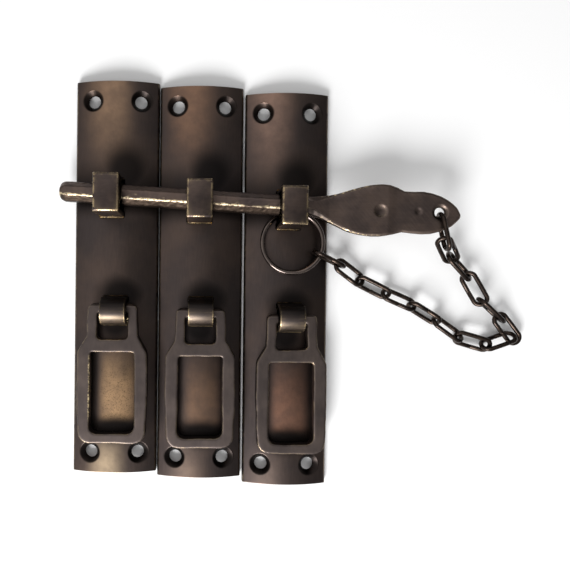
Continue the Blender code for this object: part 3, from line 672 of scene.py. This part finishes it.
def wire_ring():
    low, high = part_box("ring")
    wire = (high.z - low.z) / 2
    bpy.ops.object.select_all(action="DESELECT")
    bpy.ops.mesh.primitive_torus_add(major_radius=(high.x - low.x) / 2 - wire, minor_radius=wire,
                                     major_segments=96, minor_segments=20, location=(low + high) / 2)
    ring = name_it(bpy.context.active_object, "keeper_ring")
    settle(ring)
    bpy.ops.object.shade_smooth()
    return put(ring, "ring", RING_FINISH, "chain_bronze", "ring")


def select_where(piece, kind, test):
    """Selects the corners or edges of a mesh that pass a test."""
    only(piece)
    bpy.ops.object.mode_set(mode="EDIT")
    bpy.ops.mesh.select_all(action="DESELECT")
    bpy.ops.object.mode_set(mode="OBJECT")
    for item in getattr(piece.data, kind):
        item.select = test(item)
    bpy.ops.object.mode_set(mode="EDIT")


def link_pattern():
    """One long link lying along X: a torus drawn out, with the butt joint of its wire on one side."""
    bpy.ops.object.select_all(action="DESELECT")
    bpy.ops.mesh.primitive_torus_add(major_radius=LINK_BEND, minor_radius=LINK_WIRE, major_segments=32,
                                     minor_segments=16)
    link = name_it(bpy.context.active_object, "link_pattern")
    for sign in (1, -1):
        select_where(link, "vertices", lambda corner: corner.co.x * sign > NOTHING)
        bpy.ops.transform.translate(value=(sign * LINK_HALF, 0, 0))

    def at_butt(edge):
        ends = [link.data.vertices[number].co for number in edge.vertices]
        return all(abs(end.x) < NOTHING and end.y > 0 for end in ends)

    select_where(link, "edges", at_butt)
    bpy.ops.mesh.select_mode(type="EDGE")
    bpy.ops.mesh.bevel(offset=LINK_GROOVE, segments=2)
    bpy.ops.mesh.select_all(action="DESELECT")
    bpy.ops.mesh.select_mode(type="VERT")
    bpy.ops.object.mode_set(mode="OBJECT")
    middle = Vector((0, LINK_BEND, 0))
    for corner in link.data.vertices:
        if abs(corner.co.x) < 2 * NOTHING and corner.co.y > 0:
            corner.co = middle + (corner.co - middle) * LINK_BUTT
    only(link)
    bpy.ops.object.shade_smooth()
    return link


def axes_of(node):
    """Middle, and the long, cross and flat directions, of a solid that is a flat oval."""
    spots = np.array([corner.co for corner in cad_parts[node].data.vertices])
    spots = np.unique(np.round(spots, 6), axis=0)
    middle = spots.mean(axis=0)
    _, _, rows = np.linalg.svd(spots - middle, full_matrices=False)
    long, cross = Vector(rows[0]), Vector(rows[1])
    return Vector(middle), long, cross, long.cross(cross)


def make_chain():
    """Lays a copy of the link where each solid link lies; chance says which way up its butt joint is."""
    pattern = link_pattern()
    for number, node in enumerate(LINKS):
        chance = random.Random(40 + number)
        only(pattern)
        bpy.ops.object.duplicate()
        link = name_it(bpy.context.active_object, node.replace("link_", "chain_link_"))
        middle, long, cross, flat = axes_of(node)
        if chance.random() < 0.5:
            cross, flat = -cross, -flat
        turn = Matrix((long, cross, flat)).transposed().to_4x4()
        link.matrix_world = Matrix.Translation(middle) @ turn
        settle(link)
        put(link, node, CHAIN_FINISH, "chain_bronze", node)
    bpy.data.objects.remove(pattern, do_unlink=True)


for side in SIDES:
    dress_plate(side)
    dress_strap(side, "keeper", f"{side}_bolt_keeper", KEEPER_FINISH, KEEPER_EASE)
    dress_strap(side, "arch", f"{side}_pull_arch", ARCH_FINISH[side], ARCH_EASE)
    dress_pull(side)
dress_bolt()
wire_ring()
make_chain()


# Table, light and camera

PICTURE = 570.0               # pixels across the frame
LENS_REACH = 565.0            # pixels from the lens to the picture
PICTURE_SHIFT = 87.0          # pixels that the frame lies to the right
CAMERA_PLACE = MIDDLE + Vector((-1.2 * MM, -1.7 * MM, 300 * MM))
CAMERA_TURN = math.radians(0.6)
WINDOW_AIM = MIDDLE + Vector((20 * MM, 0, 0))
WINDOW_TOWARDS = Vector((-0.36, -0.93, 0.66))
WINDOW_DISTANCE = 1.1
TABLE_SIZE = 6.0
TABLE_GAP = 0.2 * MM          # between the table and the plates


def make_table():
    bpy.ops.object.select_all(action="DESELECT")
    bpy.ops.mesh.primitive_plane_add(size=TABLE_SIZE, location=(0, 0, -TABLE_GAP))
    table = name_it(bpy.context.active_object, "table")
    white = bpy.data.materials.new("table_white")
    white.use_nodes = True
    shader = white.node_tree.nodes["Principled BSDF"]
    shader.inputs["Base Color"].default_value = (0.93, 0.93, 0.93, 1)
    shader.inputs["Roughness"].default_value = 0.7
    table.data.materials.append(white)


def make_window():
    """Broad round light beyond the near side of the latch, a little to the left."""
    lamp = bpy.data.lights.new("window", "AREA")
    lamp.shape = "DISK"
    lamp.size = 0.55
    lamp.energy = 17.0
    window = bpy.data.objects.new("window", lamp)
    bpy.context.scene.collection.objects.link(window)
    direction = WINDOW_TOWARDS.normalized()
    window.location = WINDOW_AIM + direction * WINDOW_DISTANCE
    window.rotation_euler = direction.to_track_quat("Z", "Y").to_euler()


def make_sky():
    """Even light for all but gloss, where the bronze sees a room: bright on the left, near and far."""
    world = bpy.data.worlds.new("studio")
    bpy.context.scene.world = world
    world.use_nodes = True
    tree = world.node_tree
    back = tree.nodes["Background"]
    back.inputs["Color"].default_value = (1.0, 1.0, 1.0, 1)
    right, away, up = parts_of(tree, node_at(tree, "ShaderNodeTexCoord").outputs["Generated"])
    walls = maths(tree, "MULTIPLY_ADD", right, -0.20, 0.32)
    walls = maths(tree, "MULTIPLY_ADD", away, -0.28, walls, clamp=True)
    stripe = spread(tree, maths(tree, "ABSOLUTE", right), 0.50, 0.05)
    near = spread(tree, away, -0.10, -0.42, 0.0, 0.74)
    far = spread(tree, away, 0.08, 0.40, 0.0, 0.75)
    ends = product(tree, stripe, maths(tree, "ADD", near, far))
    left = spread(tree, right, 0.14, -0.44, 0.29, 0.90)
    overhead = spread(tree, up, 0.35, 0.72)
    mirrored = blend_number(tree, overhead, walls, maths(tree, "ADD", ends, left))
    ray = node_at(tree, "ShaderNodeLightPath")
    tree.links.new(blend_number(tree, ray.outputs["Is Glossy Ray"], 0.56, mirrored), back.inputs["Strength"])


def make_camera():
    lens = bpy.data.cameras.new("camera")
    lens.sensor_fit = "HORIZONTAL"
    lens.angle = 2 * math.atan(PICTURE / 2 / LENS_REACH)
    lens.shift_x = PICTURE_SHIFT / PICTURE
    lens.clip_start = 0.01
    camera = bpy.data.objects.new("camera", lens)
    bpy.context.scene.collection.objects.link(camera)
    camera.location = CAMERA_PLACE
    camera.rotation_euler = (0, 0, CAMERA_TURN)
    bpy.context.scene.camera = camera


make_table()
make_sky()
make_window()
make_camera()
bpy.context.scene.view_settings.view_transform = "Standard"
